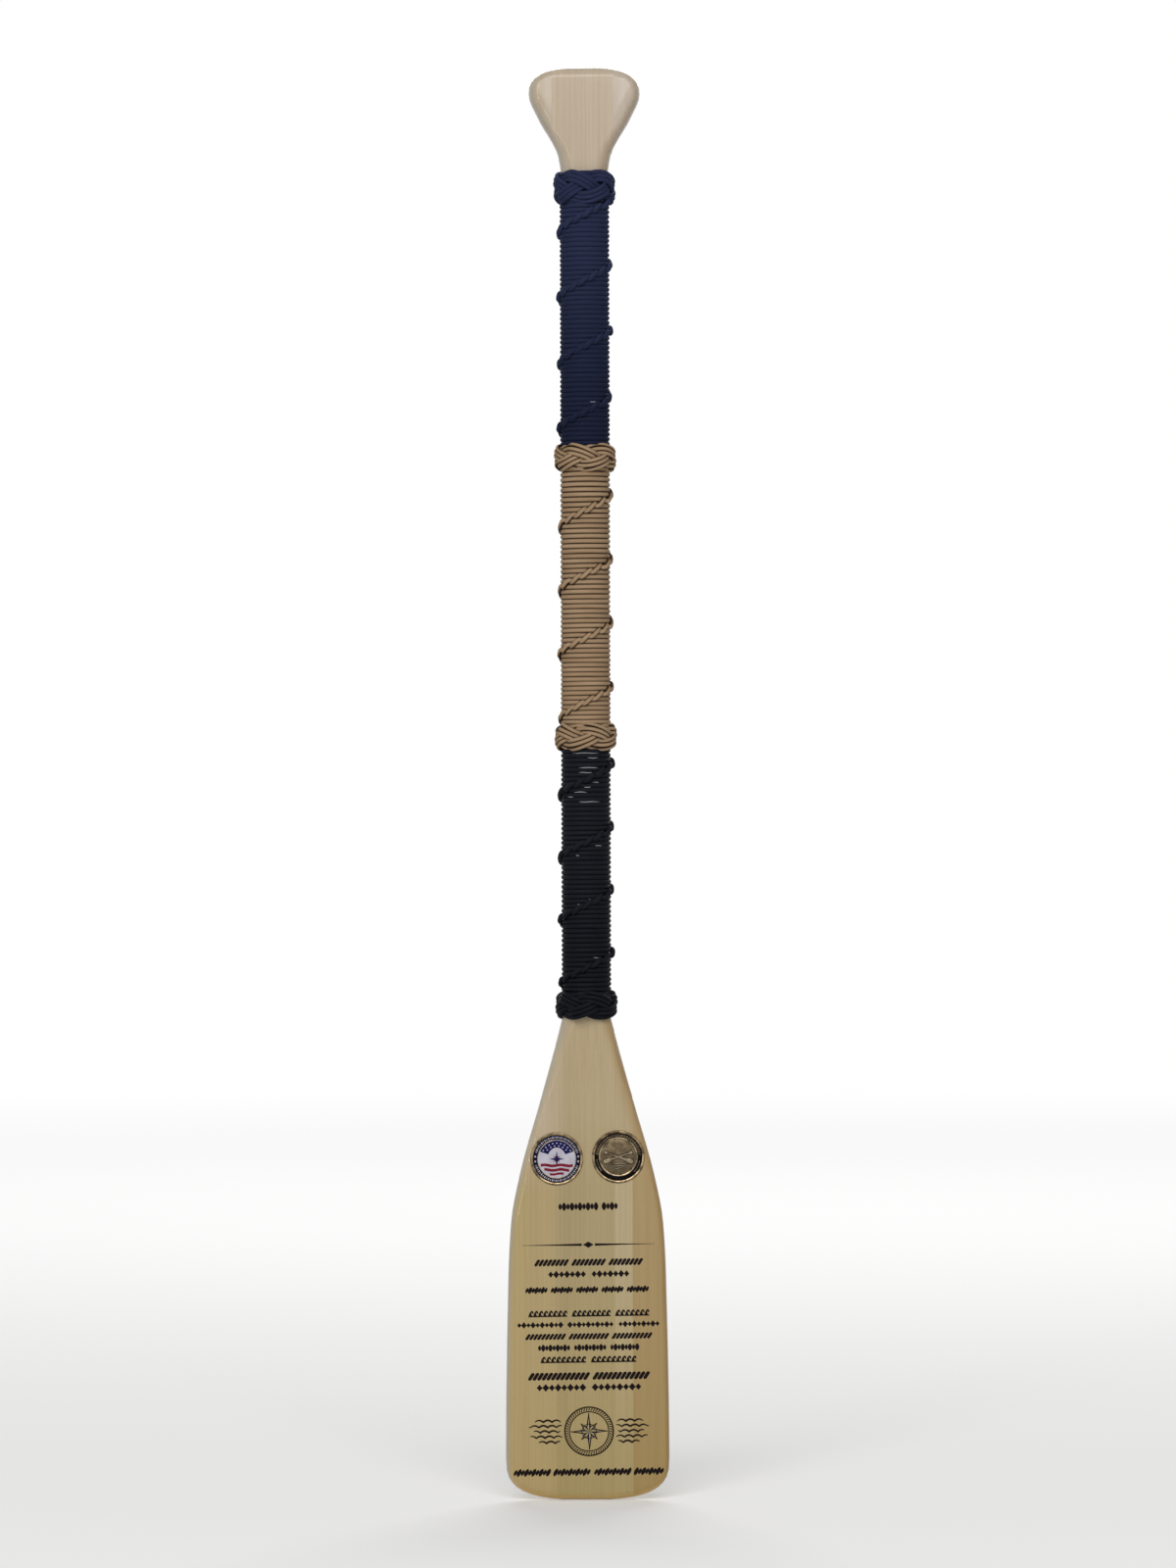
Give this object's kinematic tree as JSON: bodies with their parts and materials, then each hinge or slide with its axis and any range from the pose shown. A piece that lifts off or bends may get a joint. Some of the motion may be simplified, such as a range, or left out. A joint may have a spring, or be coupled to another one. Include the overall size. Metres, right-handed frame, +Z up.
{
  "type": "canoe paddle",
  "caption": "Laminated wooden paddle with a flat blade, palm grip, cord-bound shaft, braided knots and round coins set in the blade.",
  "frame": {"origin": "on the paddle's centre line, on the flat back of the blade, 165 mm above the tip", "axes": "+Z runs up the paddle from the blade to the grip, -Y is the way the face with the coins looks, +X is to the right of someone who looks at that face"},
  "size_m": [0.1392, 0.0478, 1.2189],
  "materials": {
    "basswood": "clear gloss varnish",
    "pale_basswood": "clear gloss varnish",
    "warm_basswood": "clear gloss varnish",
    "grip_basswood": "clear gloss varnish",
    "navy_cord": "woven nylon sheath",
    "tan_cord": "woven nylon sheath",
    "black_cord": "woven nylon sheath",
    "black_tape": "matte cloth tape",
    "tan_tape": "matte cloth tape",
    "navy_tape": "matte cloth tape",
    "gold_plate": "polished gold plate",
    "antique_gold": "antiqued gold plate",
    "navy_enamel": "glossy",
    "white_enamel": "glossy",
    "black_enamel": "glossy",
    "epoxy": "cured clear epoxy"
  },
  "bodies": {
    "root": {"centre_stave": "basswood", "blade_strip_left_inner": "basswood", "blade_strip_left_outer": "pale_basswood", "blade_strip_right_inner": "pale_basswood", "blade_strip_right_outer": "warm_basswood", "grip_cheek_left": "grip_basswood", "grip_cheek_right": "grip_basswood", "black_turks_head": "black_cord", "black_tape": "black_tape", "black_wrap": "black_cord", "tan_turks_head_lower": "tan_cord", "tan_tape": "tan_tape", "tan_wrap": "tan_cord", "tan_turks_head_upper": "tan_cord", "navy_tape": "navy_tape", "navy_wrap": "navy_cord", "navy_turks_head": "navy_cord", "left_coin": "gold_plate", "left_coin_band_enamel": "navy_enamel", "left_coin_centre_enamel": "white_enamel", "left_coin_adhesive": "epoxy", "right_coin": "antique_gold", "right_coin_band_enamel": "black_enamel", "right_coin_adhesive": "epoxy"}
  },
  "joints": []
}
